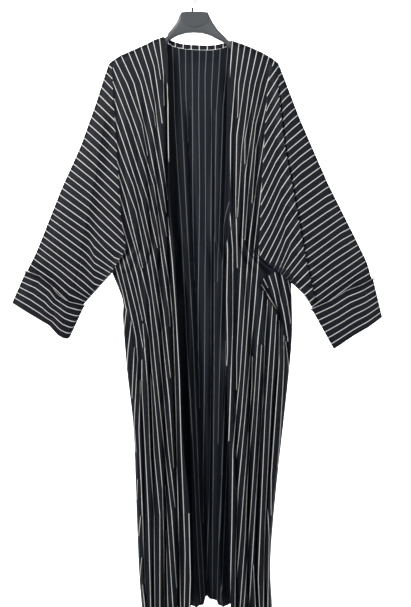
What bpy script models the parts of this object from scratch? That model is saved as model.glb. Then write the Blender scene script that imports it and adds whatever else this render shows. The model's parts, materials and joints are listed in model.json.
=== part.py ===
"""A long kimono coat of thin striped cloth, open at the front, hung on a moulded jacket hanger.

Metres, +Z up. The origin is the inner top of the hook, where a rail touches it. The wearer faces -Y, so
the wearer's left is at +X. A place on the coat is told by its distance out from the centre line, on a
side of -1 or 1, and by its depth below the rail.
"""

import math

import bmesh
import bpy
import numpy as np

# Cloth
WALL = 0.0016
CUFF_WALL = 0.0022
SEAM = 0.0003
HEM_DEPTH = 1.566
STEEPNESS = 0.6

# Grid: rows down the coat, and columns for each half of a fold
ROUND_ROWS = 3
UPPER_ROWS = 9
LOWER_ROWS = 10
FOLD_COLUMNS = 2
ROUNDING = 0.018

# Neck
NECK_TURN = 0.008
NECK_DIP = 0.025
NECK_FADE = 0.2
NECK_COLUMNS = (0, 0.3, 1)
BAND_HEIGHT = 0.0115
BAND_WALL = 0.002
BAND_END = 0.007

# Cuffs: how far the sleeve goes in, and half the thickness of the flattened tube
CUFF_LAP = 0.016
CUFF_HALF = 0.016
CUFF_FLARE = 0.003
CUFF_PLAY = 0.0006
SLEEVE_BULGE = 0.005
SLEEVE_NARROWS = (0.95, 0.985)

# Hanger
ARM_PLAY = 0.0009
ARM_HEIGHT = 0.020
ARM_END = 0.190
RING_POINTS = 16
PANEL_THICKNESS = 0.001
WIRE = 0.0035
HOOK_INSIDE = 0.0385
COLLAR_WIDTH = 0.0052
COLLAR_X = -0.005

# How far the cloth stands in front of the centre plane, and behind it: (depth, half thickness)
THICKNESS = [
    (0.148, 0.0125),
    (0.205, 0.0215),
    (0.400, 0.0260),
    (0.734, 0.0310),
    (1.050, 0.0370),
    (1.566, 0.0450),
]

# Outline of each side, as (out, depth): the shoulder, the fold where sleeve meets body down to the underarm,
# the side seam below it, the front edge, and the cuff's four corners.
NECK_POINT = {-1: (0.0765, 0.1435), 1: (0.0905, 0.1520)}
ARMHOLE = {
    -1: [(0.2125, 0.2035), (0.205, 0.225), (0.203, 0.270), (0.197, 0.366), (0.189, 0.486), (0.182, 0.594),
         (0.173, 0.650), (0.171, 0.676), (0.186, 0.702), (0.206, 0.7335)],
    1: [(0.210, 0.2085), (0.190, 0.2285), (0.182, 0.270), (0.178, 0.330), (0.172, 0.4235), (0.166, 0.5335),
        (0.163, 0.626), (0.162, 0.690), (0.195, 0.714), (0.241, 0.7335)],
}
SIDE_SEAM = {
    -1: [(0.206, 0.7335), (0.180, 0.801), (0.179, 0.851), (0.169, 0.976), (0.1525, 1.126), (0.146, 1.301),
         (0.139, 1.476), (0.132, 1.566)],
    1: [(0.241, 0.7335), (0.2435, 0.801), (0.2435, 0.901), (0.229, 1.051), (0.204, 1.276), (0.190, 1.451),
        (0.194, 1.566)],
}
FRONT_EDGE = {
    -1: [(0.0765, 0.1435), (0.066, 0.201), (0.066, 0.376), (0.061, 0.551), (0.051, 0.676), (0.0375, 0.926),
         (0.034, 1.051), (0.026, 1.176), (0.011, 1.331), (0.0085, 1.566)],
    1: [(0.0905, 0.1520), (0.0875, 0.301), (0.0885, 0.426), (0.0885, 0.589), (0.080, 0.676), (0.080, 0.951),
        (0.084, 1.163), (0.089, 1.301), (0.089, 1.566)],
}
CUFF_TOP = {-1: ((0.421, 0.7285), (0.274, 0.811)), 1: ((0.446, 0.7465), (0.292, 0.823))}
CUFF_END = {-1: ((0.456, 0.8085), (0.311, 0.896)), 1: ((0.469, 0.8435), (0.348, 0.9235))}

# Valleys between the folds of each panel, from its front edge outwards, or across the back from -X to +X.
# Columns: share of the width at the chest, the knee and the hem, then the valley's depth at the same three
FRONT_VALLEYS = {
    -1: [(0.05, 0.11, 0.26, 0.006, 0.018, 0.028),
         (0.25, 0.32, 0.53, 0.007, 0.016, 0.024),
         (0.42, 0.59, 0.75, 0.006, 0.014, 0.020),
         (0.65, 0.79, 0.90, 0.005, 0.010, 0.014)],
    1: [(0.07, 0.15, 0.16, 0.004, 0.014, 0.022),
        (0.39, 0.38, 0.45, 0.007, 0.018, 0.026),
        (0.66, 0.59, 0.64, 0.006, 0.016, 0.020),
        (0.85, 0.79, 0.86, 0.004, 0.014, 0.014)],
}
BACK_VALLEYS = [
    (0.10, 0.10, 0.10, 0.003, 0.010, 0.018),
    (0.25, 0.22, 0.22, 0.005, 0.014, 0.022),
    (0.416, 0.38, 0.424, 0.005, 0.015, 0.026),
    (0.56, 0.49, 0.53, 0.003, 0.006, 0.008),
    (0.674, 0.592, 0.624, 0.004, 0.012, 0.020),
    (0.79, 0.74, 0.77, 0.004, 0.014, 0.022),
    (0.90, 0.88, 0.89, 0.003, 0.010, 0.016),
]
VALLEY_DEPTHS = (0.300, 0.560, 1.051, 1.566)
ARMHOLE_VALLEY = {-1: 0.008, 1: 0.011}
# The sleeve's own valley, from near the shoulder's tip towards the cuff: (share at the top, share at the
# underarm, depth)
SLEEVE_VALLEY = {-1: (0.10, 0.34, 0.004), 1: (0.08, 0.45, 0.008)}

# Hanger's outline on each side, as (out, depth of the top, depth of the underside, half thickness)
HEAD = {
    -1: [(0.000, 0.0795, 0.1335, 0.0085), (0.018, 0.0797, 0.1345, 0.0085), (0.030, 0.0810, 0.1375, 0.0085),
         (0.0345, 0.0840, 0.1388, 0.0085), (0.0385, 0.0930, 0.1400, 0.0085), (0.046, 0.1090, 0.1430, 0.0085),
         (0.056, 0.1225, 0.1488, 0.0088), (0.0655, 0.1335, 0.1540, 0.0090)],
    1: [(0.018, 0.0797, 0.1347, 0.0085), (0.030, 0.0815, 0.1378, 0.0085), (0.0345, 0.0845, 0.1392, 0.0085),
        (0.0385, 0.0925, 0.1408, 0.0085), (0.046, 0.1075, 0.1445, 0.0085), (0.058, 0.1250, 0.1503, 0.0088),
        (0.068, 0.1355, 0.1555, 0.0090), (0.077, 0.1438, 0.1600, 0.0090)],
}
ARM_STATIONS = 7
# The head's faces are flat and the arms are round: (distances out), (power of the section's outline)
HEAD_TO_ARM = ((0.050, 0.075), (0.35, 1.0))
ARM_HALF = (0.0072, 0.0135)
PANEL = [(-0.033, 0.0835), (-0.0325, 0.105), (-0.024, 0.1135), (0.000, 0.1215), (0.026, 0.1135),
         (0.0335, 0.105), (0.034, 0.0835)]
# The hook's wire from its stub up to the round hook, then the round part's start and end angles
STEM = [(-0.005, -0.0705), (-0.004, -0.064), (0.001, -0.0555), (0.0085, -0.0460), (0.0165, -0.0340)]
HOOK_FROM, HOOK_TO, HOOK_STEPS = -8, 222, 26

CLOTH = ((0.012, 0.014, 0.020, 1), 0.85, 0)
BINDING = ((0.020, 0.022, 0.028, 1), 0.80, 0)
PLASTIC = ((0.105, 0.110, 0.115, 1), 0.38, 0)
PANEL_PLASTIC = ((0.085, 0.090, 0.095, 1), 0.30, 0)
STUB = ((0.010, 0.010, 0.011, 1), 0.45, 0)
CHROME = ((0.80, 0.80, 0.82, 1), 0.12, 1)


def finish(name, look):
    colour, roughness, metallic = look
    made = bpy.data.materials.new(name)
    made.use_nodes = True
    shader = made.node_tree.nodes["Principled BSDF"]
    shader.inputs["Base Color"].default_value = colour
    shader.inputs["Roughness"].default_value = roughness
    shader.inputs["Metallic"].default_value = metallic
    return made


def node(name, points, faces, look):
    mesh = bpy.data.meshes.new(name)
    mesh.from_pydata([tuple(point) for point in points], [], faces)
    shape = bmesh.new()
    shape.from_mesh(mesh)
    bmesh.ops.recalc_face_normals(shape, faces=shape.faces)
    shape.to_mesh(mesh)
    shape.free()
    mesh.shade_smooth()
    mesh.set_sharp_from_angle(angle=math.radians(50))
    made = bpy.data.objects.new(name, mesh)
    made.data.materials.append(finish(name, look))
    bpy.context.scene.collection.objects.link(made)
    return made


def smooth_path(points, shares):
    """Places at shares of the length of the smooth curve through the points."""
    points = [np.array(point) for point in points]
    ends = [2 * points[0] - points[1], *points, 2 * points[-1] - points[-2]]
    steps = np.linspace(0, 1, 12, endpoint=False)[:, None]
    runs = []
    for before, start, end, after in zip(ends, ends[1:], ends[2:], ends[3:]):
        first = (end - before) / 2
        last = (after - start) / 2
        cubic = 2 * start - 2 * end + first + last
        square = 3 * end - 3 * start - 2 * first - last
        runs.append(((cubic * steps + square) * steps + first) * steps + start)
    path = np.concatenate(runs + [ends[-2][None]])
    along = np.concatenate([[0], np.cumsum(np.linalg.norm(np.diff(path, axis=0), axis=1))])
    return np.stack([np.interp(np.array(shares) * along[-1], along, line) for line in path.T], axis=-1)


def at_depth(table, depth):
    """The first column of an outline's table where the second is this depth."""
    out, depths = np.array(table).T
    return np.interp(depth, depths, out)


def thickness(depth):
    depths, half = np.array(THICKNESS).T
    return np.interp(depth, depths, half)


def quarter_round(drop, radius):
    """How far out a round shoulder has come, as a share, once this far below its top."""
    return np.sqrt(1 - (1 - np.clip(drop / radius, 0, 1)) ** 2)


def row_shares(side):
    """Shares of the way from the shoulder to the underarm, close together round both edges of the sleeve."""
    length = ARMHOLE[side][-1][1] - NECK_POINT[side][1]
    turns = np.radians(np.linspace(0, 90, ROUND_ROWS + 1))
    edge = ROUNDING / length * (1 - np.cos(turns))
    middle = np.linspace(edge[-1], 1 - edge[-1], UPPER_ROWS + 1)
    return np.concatenate([edge[:-1], middle, 1 - edge[-2::-1]])


def row_ends(side):
    """Each row's inner end at the front edge and outer end at the armhole or side seam, as (out, depth)."""
    shares = row_shares(side)
    under = ARMHOLE[side][-1][1]
    inner_depth = NECK_POINT[side][1] + (under - NECK_POINT[side][1]) * shares
    outer = smooth_path(ARMHOLE[side], shares)
    lower = np.linspace(under, HEM_DEPTH, LOWER_ROWS + 1)[1:]
    inner_depth = np.concatenate([inner_depth, lower])
    outer = np.concatenate([outer, np.stack([at_depth(SIDE_SEAM[side], lower), lower], axis=-1)])
    inner = np.stack([at_depth(FRONT_EDGE[side], inner_depth), inner_depth], axis=-1)
    return inner, outer


def edge_share(side):
    """How far each row's outer end stands from the centre plane, as a share: none at a seam."""
    shares = row_shares(side)
    length = ARMHOLE[side][-1][1] - NECK_POINT[side][1]
    near = np.minimum(shares, 1 - shares) * length
    return np.concatenate([quarter_round(near, ROUNDING), np.zeros(LOWER_ROWS)])


def valleys_at(valleys, depth):
    """Each valley's share of the width and its own depth, at this depth below the rail."""
    _, chest, knee, hem = VALLEY_DEPTHS
    table = np.array(valleys)
    places = [np.interp(depth, (chest, knee, hem), row) for row in table[:, :3]]
    deep = [np.interp(depth, VALLEY_DEPTHS, (0, *row)) for row in table[:, 3:]]
    return np.array(places), np.array(deep)


def fold_line(knots, deep, phases, size):
    """Shares across and valley depths along one row of folds, with broad crests and narrow valleys.

    Phases run by a turn for each fold and are whole at a valley. Knots are (phase, share) pairs.
    """
    turns, shares = np.array(knots).T
    middle = np.interp(phases, turns, shares)
    period = np.interp(phases + 0.5, turns, shares) - np.interp(phases - 0.5, turns, shares)
    depth = np.interp(phases, turns, deep)
    lean = STEEPNESS * np.clip(depth / (0.5 * period * size + 1e-9), 0, 1)
    across = middle - lean * period * np.sin(2 * math.pi * phases) / (2 * math.pi)
    return across, depth * (1 + np.cos(2 * math.pi * phases)) / 2


def front_grid(side):
    """The front's outer points, as rows of (x, y, z), and then those of its half of the sleeve."""
    inner, outer = row_ends(side)
    edges = edge_share(side)
    valleys = FRONT_VALLEYS[side]
    last = len(valleys) + 1
    phases = np.linspace(0.5, last, FOLD_COLUMNS * (2 * last - 1) + 1)
    top = ROUND_ROWS * 2 + UPPER_ROWS
    rows = []
    for row, (start, end) in enumerate(zip(inner, outer)):
        places, deep = valleys_at(valleys, start[1])
        armhole = ARMHOLE_VALLEY[side] * edges[row] if row <= top else 0
        knots = [(0.5, 0), *((turn + 1, share) for turn, share in enumerate(places)), (last, 1)]
        across, inward = fold_line(knots, [0, *deep, armhole], phases, abs(end[0] - start[0]))
        depth = start[1] + (end[1] - start[1]) * across
        ridge = inner[0][1] + (outer[0][1] - inner[0][1]) * across
        rounded = quarter_round(depth - ridge, thickness(ridge))
        near_side = np.clip(across, 0, 1) ** 8
        share = np.sqrt(rounded ** 2 * (1 - near_side) + edges[row] ** 2 * near_side)
        stand = thickness(depth) * share - np.minimum(inward * rounded, 0.6 * thickness(depth) * share)
        x = side * (start[0] + (end[0] - start[0]) * across)
        rows.append(np.stack([x, -SEAM / 2 - stand, -depth], axis=-1))
    return np.array(rows), sleeve_grid(side, -1)


def back_grid():
    """The back's outer points from -X to +X, and then those of the backs of the two sleeves."""
    ends = {side: row_ends(side) for side in (-1, 1)}
    edges = {side: edge_share(side) for side in (-1, 1)}
    last = len(BACK_VALLEYS) + 1
    phases = np.linspace(0, last, 2 * FOLD_COLUMNS * last + 1)
    top = ROUND_ROWS * 2 + UPPER_ROWS
    corners = {}
    rows = []
    for row in range(len(edges[1])):
        left, right = ends[-1][1][row], ends[1][1][row]
        places, deep = valleys_at(BACK_VALLEYS, ends[1][0][row][1])
        armhole = [ARMHOLE_VALLEY[side] * edges[side][row] if row <= top else 0 for side in (-1, 1)]
        width = left[0] + right[0]
        knots = [(0, 0), *((turn + 1, share) for turn, share in enumerate(places)), (last, 1)]
        across, inward = fold_line(knots, [armhole[0], *deep, armhole[1]], phases, width)
        x = -left[0] + width * across
        fade = np.clip(1 - (ends[1][0][row][1] - NECK_POINT[1][1]) / NECK_FADE, 0, 1)
        for side in (-1, 1):
            corner = corners.setdefault(side, np.argmin(np.abs(x - side * NECK_POINT[side][0])))
            for step, part in enumerate(NECK_COLUMNS):
                place = side * (NECK_POINT[side][0] - NECK_TURN * part)
                x[corner - side * step] += (place - x[corner - side * step]) * fade
        out = np.abs(x)
        neck = np.where(x < 0, NECK_POINT[-1][0], NECK_POINT[1][0])
        limits = (-left[0], -NECK_POINT[-1][0], NECK_POINT[1][0], right[0])
        heights = (left[1], ends[-1][0][row][1], ends[1][0][row][1], right[1])
        depth = np.interp(x, limits, heights)
        tips = (-ends[-1][1][0][0], -NECK_POINT[-1][0], NECK_POINT[1][0], ends[1][1][0][0])
        tip_heights = (ends[-1][1][0][1], NECK_POINT[-1][1], NECK_POINT[1][1], ends[1][1][0][1])
        ridge = np.interp(x, tips, tip_heights)
        radius = thickness(ridge)
        turn = np.clip((out - neck + NECK_TURN) / NECK_TURN, 0, 1)
        inside = np.clip(out / (neck - NECK_TURN), 0, 1)
        dip = radius * (1 - turn) + (NECK_DIP - radius) * (1 - inside ** 3)
        depth = depth + dip * fade
        rounded = quarter_round(depth - ridge, radius)
        side_out = np.where(x < 0, left[0], right[0])
        near_side = np.clip(out / side_out, 0, 1) ** 10
        edge = np.where(x < 0, edges[-1][row], edges[1][row])
        share = np.sqrt(rounded ** 2 * (1 - near_side) + edge ** 2 * near_side)
        stand = thickness(depth) * share - np.minimum(inward * rounded, 0.6 * thickness(depth) * share)
        rows.append(np.stack([x, SEAM / 2 + stand, -depth], axis=-1))
    return np.array(rows), sleeve_grid(-1, 1), sleeve_grid(1, 1)


def cuff_lines(side):
    """The cuff's top and end lines, each as its two corners in (x, z)."""
    return [np.array([(side * out, -depth) for out, depth in line[side]]) for line in (CUFF_TOP, CUFF_END)]


def shrunk(line, by):
    """A line between two corners, shortened by this much at each."""
    along = line[1] - line[0]
    step = by * along / np.linalg.norm(along)
    return np.array([line[0] + step, line[1] - step])


def lens(shares):
    """Half the outline of a flattened tube, at shares of its width."""
    return (1 - np.abs(1 - 2 * shares) ** 3) ** (1 / 3)


def sleeve_grid(side, face):
    """One half of a sleeve: rows from the armhole, columns on to the end inside the cuff."""
    shares = row_shares(side)
    _, outer = row_ends(side)
    edges = edge_share(side)
    armhole = outer[:len(shares)] * np.array([side, -1])
    top, end = cuff_lines(side)
    lap = CUFF_LAP / np.linalg.norm(end.mean(axis=0) - top.mean(axis=0))
    inset = CUFF_WALL + CUFF_PLAY
    mouth = shrunk(top, inset)
    target = mouth[0] + (mouth[1] - mouth[0]) * shares[:, None]
    tucked = shrunk(top + (end - top) * lap, inset)
    tucked = tucked[0] + (tucked[1] - tucked[0]) * shares[:, None]
    near_top, near_under, deep = SLEEVE_VALLEY[side]
    phases = np.linspace(0, 2, 4 * FOLD_COLUMNS + 1)
    grid = []
    for row, share in enumerate(shares):
        valley = near_top + (near_under - near_top) * share
        fold = edges[row]
        knots = [(0, 0), (1, valley), (2, SLEEVE_NARROWS[0])]
        length = np.linalg.norm(target[row] - armhole[row])
        start = ARMHOLE_VALLEY[side] * fold
        across, inward = fold_line(knots, [start, deep * fold, 0], phases, length)
        start_half = thickness(outer[row][1])
        stand = (start_half + (CUFF_HALF + SLEEVE_BULGE - start_half) * across / across[-1])
        shape = fold + (lens(share) - fold) * across / across[-1]
        stand = stand * shape - np.minimum(inward, 0.6 * stand * shape)
        flat = armhole[row] + (target[row] - armhole[row]) * across[:, None]
        points = [np.array([x, face * (SEAM / 2 + y), z]) for (x, z), y in zip(flat, stand)]
        narrow = armhole[row] + (target[row] - armhole[row]) * SLEEVE_NARROWS[1]
        inside = (CUFF_HALF - inset) * lens(share)
        ends = [(narrow, inside + SLEEVE_BULGE * lens(share) / 3), (target[row], inside),
                (tucked[row], inside)]
        points += [np.array([place[0], face * (SEAM / 2 + y), place[1]]) for place, y in ends]
        grid.append(points)
    return np.array(grid)


def cloth(name, grid, seams, facing, look, wall=WALL):
    """A closed wall from a grid of outer points with gaps marked nan. Seam points keep their own plane."""
    here = ~np.isnan(grid[:, :, 0])
    index = np.full(here.shape, -1)
    index[here] = np.arange(here.sum())
    points = grid[here]
    quads = []
    for row in range(here.shape[0] - 1):
        for column in range(here.shape[1] - 1):
            corners = (index[row, column], index[row, column + 1], index[row + 1, column + 1],
                       index[row + 1, column])
            if min(corners) >= 0:
                quads.append(corners)
    quads = np.array(quads)
    across = points[quads[:, 2]] - points[quads[:, 0]]
    down = points[quads[:, 3]] - points[quads[:, 1]]
    normals = np.cross(across, down)
    if normals[:, 1].sum() * facing < 0:
        quads = quads[:, ::-1]
        normals = -normals
    at_point = np.zeros_like(points)
    for corner in range(4):
        np.add.at(at_point, quads[:, corner], normals)
    at_point[seams[here], 1] = 0
    at_point /= np.linalg.norm(at_point, axis=1)[:, None]
    inner = points - wall * at_point
    count = len(points)
    faces = [tuple(quad) for quad in quads]
    faces += [tuple(quad[::-1] + count) for quad in quads]
    sides = [(quad[k], quad[(k + 1) % 4]) for quad in quads for k in range(4)]
    single = set(sides)
    faces += [(b, a, a + count, b + count) for a, b in sides if (b, a) not in single]
    return node(name, np.concatenate([points, inner]), [tuple(map(int, face)) for face in faces], look)


def joined_grid(body, left_sleeve, right_sleeve):
    """One grid from a body and the sleeves beside it, which share its outer columns."""
    columns = [body]
    blank = np.full((len(body), 1, 3), np.nan)
    for sleeve, place in ((left_sleeve, 0), (right_sleeve, 1)):
        if sleeve is None:
            continue
        padded = np.repeat(blank, sleeve.shape[1] - 1, axis=1)
        padded[:len(sleeve)] = sleeve[:, 1:]
        columns.insert(place * len(columns), padded if place else padded[:, ::-1])
    return np.concatenate(columns, axis=1)


def build_fronts():
    for side, name in ((-1, "front_right"), (1, "front_left")):
        body, sleeve = front_grid(side)
        grid = joined_grid(body, None, sleeve)
        seams = np.zeros(grid.shape[:2], bool)
        seams[0] = True
        upper = len(sleeve) - 1
        outer = body.shape[1] - 1
        seams[upper, outer:] = True
        seams[upper:, outer] = True
        cloth(name, grid, seams, -1, CLOTH)


def build_back():
    body, right_sleeve, left_sleeve = back_grid()
    grid = joined_grid(body, right_sleeve, left_sleeve)
    upper = len(left_sleeve) - 1
    sleeve = right_sleeve.shape[1] - 1
    seams = np.zeros(grid.shape[:2], bool)
    neck = np.zeros(grid.shape[1], bool)
    row = grid[0, :, 0]
    neck[(row > -NECK_POINT[-1][0]) & (row < NECK_POINT[1][0])] = True
    seams[0] = ~neck
    seams[upper, :sleeve + 1] = True
    seams[upper, -sleeve - 1:] = True
    seams[upper:, sleeve] = True
    seams[upper:, -sleeve - 1] = True
    cloth("back", grid, seams, 1, CLOTH)


def ring_faces(rings, points_each):
    faces = []
    for ring in range(rings - 1):
        for point in range(points_each):
            after = (point + 1) % points_each
            faces.append((ring * points_each + point, ring * points_each + after,
                          (ring + 1) * points_each + after, (ring + 1) * points_each + point))
    return faces


def build_cuffs():
    for side, name in ((-1, "cuff_right"), (1, "cuff_left")):
        top, end = cuff_lines(side)
        shares = row_shares(side)
        around = np.concatenate([shares, shares[-2:0:-1]])
        faces_to = np.concatenate([-np.ones(len(shares)), np.ones(len(shares) - 2)])
        rings = []
        for inset in (0, CUFF_WALL):
            stations = [0, 0.08, 0.5, 1]
            for station in stations if inset == 0 else stations[::-1]:
                line = shrunk(top + (end - top) * station, inset)
                flare = CUFF_FLARE if station == 0 else 0
                line = shrunk(line, -flare)
                flat = line[0] + (line[1] - line[0]) * around[:, None]
                half = (CUFF_HALF - inset + flare) * lens(around) * faces_to
                rings.append(np.stack([flat[:, 0], half, flat[:, 1]], axis=-1))
        each = len(around)
        faces = ring_faces(len(rings) + 1, each)
        count = len(rings) * each
        faces = [tuple(point % count for point in face) for face in faces]
        node(name, np.concatenate(rings), faces, CLOTH)


def build_neck_band():
    """A flat band standing on the back's neckline, with its ends just behind the hanger's arms."""
    body = back_grid()[0]
    line = body[0]
    inside = (line[:, 0] > -NECK_POINT[-1][0] + BAND_END) & (line[:, 0] < NECK_POINT[1][0] - BAND_END)
    line = line[inside]
    low = line + np.array([0, 0, SEAM])
    high = low + np.array([0, 0, BAND_HEIGHT])
    back = np.array([0, BAND_WALL, 0])
    rings = [low, low + back, high + back, high]
    points = np.stack(rings, axis=1).reshape(-1, 3) - np.array([0, WALL / 2 + BAND_WALL / 2, 0])
    faces = ring_faces(len(line), 4)
    faces += [(0, 1, 2, 3), tuple(len(points) - 1 - np.arange(4))]
    node("neck_band", points, [tuple(map(int, face)) for face in faces], BINDING)


def arm_sections(side):
    """The hanger's sections from the head out to the arm's end: (x, top, underside, half thickness)."""
    neck_out, neck_depth = NECK_POINT[side]
    tip_out, tip_depth = ARMHOLE[side][0]
    slope = (tip_depth - neck_depth) / (tip_out - neck_out)
    sections = [(side * out, top, under, half) for out, top, under, half in HEAD[side]]
    for station in range(ARM_STATIONS):
        share = station / (ARM_STATIONS - 1)
        out = neck_out - NECK_TURN + (ARM_END - neck_out + NECK_TURN) * share
        top = neck_depth + slope * (out - neck_out) + WALL + ARM_PLAY
        half = ARM_HALF[0] + (ARM_HALF[1] - ARM_HALF[0]) * share
        sections.append((side * out, top, top + ARM_HEIGHT, half))
    out, top, under, half = sections[-1]
    sections.append((out + side * 0.004, top + 0.006, under - 0.004, half * 0.6))
    return sections


def build_hanger():
    sections = arm_sections(-1)[::-1] + arm_sections(1)
    turns = 2 * math.pi * np.arange(RING_POINTS) / RING_POINTS
    points = []
    for x, top, under, half in sections:
        middle, reach = (top + under) / 2, (under - top) / 2
        flatness = np.interp(abs(x), *HEAD_TO_ARM)
        y = half * np.sign(np.cos(turns)) * np.abs(np.cos(turns)) ** flatness
        z = -middle + reach * np.sin(turns)
        points += [(x, a, b) for a, b in zip(y, z)]
    faces = ring_faces(len(sections), RING_POINTS)
    faces += [tuple(range(RING_POINTS)), tuple(len(points) - 1 - k for k in range(RING_POINTS))]
    node("hanger_body", points, faces, PLASTIC)


def build_panel():
    """The bare panel on the front of the hanger's head."""
    front = -HEAD[1][0][3] - SEAM
    count = len(PANEL)
    points = [(x, y, -depth) for y in (front, front - PANEL_THICKNESS) for x, depth in PANEL]
    faces = [tuple(range(count))[::-1], tuple(range(count, 2 * count))]
    faces += [(k, (k + 1) % count, count + (k + 1) % count, count + k) for k in range(count)]
    node("hanger_panel", points, faces, PANEL_PLASTIC)


def build_hook():
    radius = HOOK_INSIDE / 2 + WIRE / 2
    centre = -HOOK_INSIDE / 2
    angles = np.radians(np.linspace(HOOK_FROM, HOOK_TO, HOOK_STEPS))
    bend = [(radius * math.cos(angle), centre + radius * math.sin(angle)) for angle in angles]
    route = [*STEM, *bend]
    route = smooth_path(route, np.linspace(0, 1, 44))
    curve = bpy.data.curves.new("hanger_hook", "CURVE")
    curve.dimensions = "3D"
    curve.bevel_depth = WIRE / 2
    curve.bevel_resolution = 2
    curve.use_fill_caps = True
    line = curve.splines.new("POLY")
    line.points.add(len(route) - 1)
    for point, (x, z) in zip(line.points, route):
        point.co = (x, 0, z, 1)
    made = bpy.data.objects.new("hanger_hook", curve)
    made.data.materials.append(finish("hanger_hook", CHROME))
    bpy.context.scene.collection.objects.link(made)


def build_collar():
    top = STEM[0][1] - SEAM
    bottom = -HEAD[-1][0][1] + SEAM
    turns = 2 * math.pi * np.arange(RING_POINTS) / RING_POINTS
    sizes = ((bottom, COLLAR_WIDTH / 2), (top - 0.001, COLLAR_WIDTH / 2), (top, COLLAR_WIDTH / 2 - 0.0007))
    points = [(COLLAR_X + r * math.cos(t), r * math.sin(t), z) for z, r in sizes for t in turns]
    faces = ring_faces(len(sizes), RING_POINTS)
    faces += [tuple(range(RING_POINTS))[::-1]]
    faces += [tuple(len(points) - RING_POINTS + k for k in range(RING_POINTS))]
    node("hanger_collar", points, faces, STUB)


def main():
    for thing in list(bpy.data.objects):
        bpy.data.objects.remove(thing, do_unlink=True)
    build_fronts()
    build_back()
    build_cuffs()
    build_neck_band()
    build_hanger()
    build_panel()
    build_collar()
    build_hook()


main()
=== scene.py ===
"""The looks of a long striped kimono coat on its jacket hanger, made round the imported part.

Metres, +Z up. The origin is the inner top of the hook. The wearer faces -Y, so side -1 is the wearer's right
and the left of the picture, and side 1 the wearer's left. A place on the coat is told by its distance out
from the centre line on its side, and by its depth below the rail.
"""

import json
import math

import bmesh
import bpy
import numpy as np
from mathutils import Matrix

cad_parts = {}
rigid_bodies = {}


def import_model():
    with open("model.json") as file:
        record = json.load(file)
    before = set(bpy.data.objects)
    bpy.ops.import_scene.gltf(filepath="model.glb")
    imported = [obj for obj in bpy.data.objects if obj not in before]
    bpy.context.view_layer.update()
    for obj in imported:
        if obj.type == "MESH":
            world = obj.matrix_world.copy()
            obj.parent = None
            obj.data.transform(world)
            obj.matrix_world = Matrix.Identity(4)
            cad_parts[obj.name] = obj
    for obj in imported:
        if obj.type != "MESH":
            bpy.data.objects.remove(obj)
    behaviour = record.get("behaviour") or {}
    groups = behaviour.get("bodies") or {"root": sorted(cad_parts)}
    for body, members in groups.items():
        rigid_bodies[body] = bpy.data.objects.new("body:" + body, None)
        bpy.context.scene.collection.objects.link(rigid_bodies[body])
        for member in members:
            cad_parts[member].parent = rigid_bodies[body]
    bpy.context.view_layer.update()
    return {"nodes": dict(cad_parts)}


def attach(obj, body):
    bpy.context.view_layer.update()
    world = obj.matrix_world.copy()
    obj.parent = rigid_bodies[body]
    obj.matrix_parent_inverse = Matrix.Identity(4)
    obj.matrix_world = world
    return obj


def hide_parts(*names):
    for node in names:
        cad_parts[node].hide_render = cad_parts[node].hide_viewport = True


# Cloth, with the same sizes as the part
WALL = 0.0016
CUFF_WALL = 0.0022
SEAM = 0.0003
HEM_DEPTH = 1.566
STEEPNESS = 0.72

# Grid of the cloth: rows round each edge, down to the underarm and below it, and columns for half a fold
ROUND_ROWS = 6
UPPER_ROWS = 104
LOWER_ROWS = 112
FRONT_COLUMNS = 12
BACK_COLUMNS = 9
SLEEVE_COLUMNS = 14
ROUNDING = 0.018

# Neck
NECK_TURN = 0.008
NECK_DIP = 0.025
NECK_FADE = 0.2
NECK_COLUMNS = (0, 0.25, 0.5, 0.75, 1)
BAND_HEIGHT = 0.0115
BAND_WALL = 0.002
BAND_END = 0.007

# Cuffs
CUFF_LAP = 0.016
CUFF_HALF = 0.016
CUFF_FLARE = 0.003
CUFF_PLAY = 0.0006
SLEEVE_BULGE = 0.005
SLEEVE_NARROWS = (0.95, 0.985)

# Stripes: their pitch and width in the cloth, and the cloth between two before it lies in a fold
PITCH = 0.0168
STRIPE = 0.0019
BACK_CENTRE = 0.01175

# How far the cloth stands in front of the centre plane, and behind it: (depth, half thickness)
THICKNESS = [
    (0.148, 0.0125),
    (0.205, 0.0215),
    (0.400, 0.0260),
    (0.734, 0.0310),
    (1.050, 0.0370),
    (1.566, 0.0450),
]

# Outline of each side, as (out, depth)
NECK_POINT = {-1: (0.0765, 0.1435), 1: (0.0905, 0.1520)}
ARMHOLE = {
    -1: [(0.2125, 0.2035), (0.205, 0.225), (0.203, 0.270), (0.197, 0.366), (0.189, 0.486), (0.182, 0.594),
         (0.173, 0.650), (0.171, 0.676), (0.186, 0.702), (0.206, 0.7335)],
    1: [(0.210, 0.2085), (0.190, 0.2285), (0.182, 0.270), (0.178, 0.330), (0.172, 0.4235), (0.166, 0.5335),
        (0.163, 0.626), (0.162, 0.690), (0.195, 0.714), (0.241, 0.7335)],
}
SIDE_SEAM = {
    -1: [(0.206, 0.7335), (0.180, 0.801), (0.179, 0.851), (0.169, 0.976), (0.1525, 1.126), (0.146, 1.301),
         (0.139, 1.476), (0.132, 1.566)],
    1: [(0.241, 0.7335), (0.2435, 0.801), (0.2435, 0.901), (0.229, 1.051), (0.204, 1.276), (0.190, 1.451),
        (0.194, 1.566)],
}
FRONT_EDGE = {
    -1: [(0.0765, 0.1435), (0.066, 0.201), (0.066, 0.376), (0.061, 0.551), (0.051, 0.676), (0.0375, 0.926),
         (0.034, 1.051), (0.026, 1.176), (0.011, 1.331), (0.0085, 1.566)],
    1: [(0.0905, 0.1520), (0.0875, 0.301), (0.0885, 0.426), (0.0885, 0.589), (0.080, 0.676), (0.080, 0.951),
        (0.084, 1.163), (0.089, 1.301), (0.089, 1.566)],
}
CUFF_TOP = {-1: ((0.421, 0.7285), (0.274, 0.811)), 1: ((0.446, 0.7465), (0.292, 0.823))}
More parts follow.
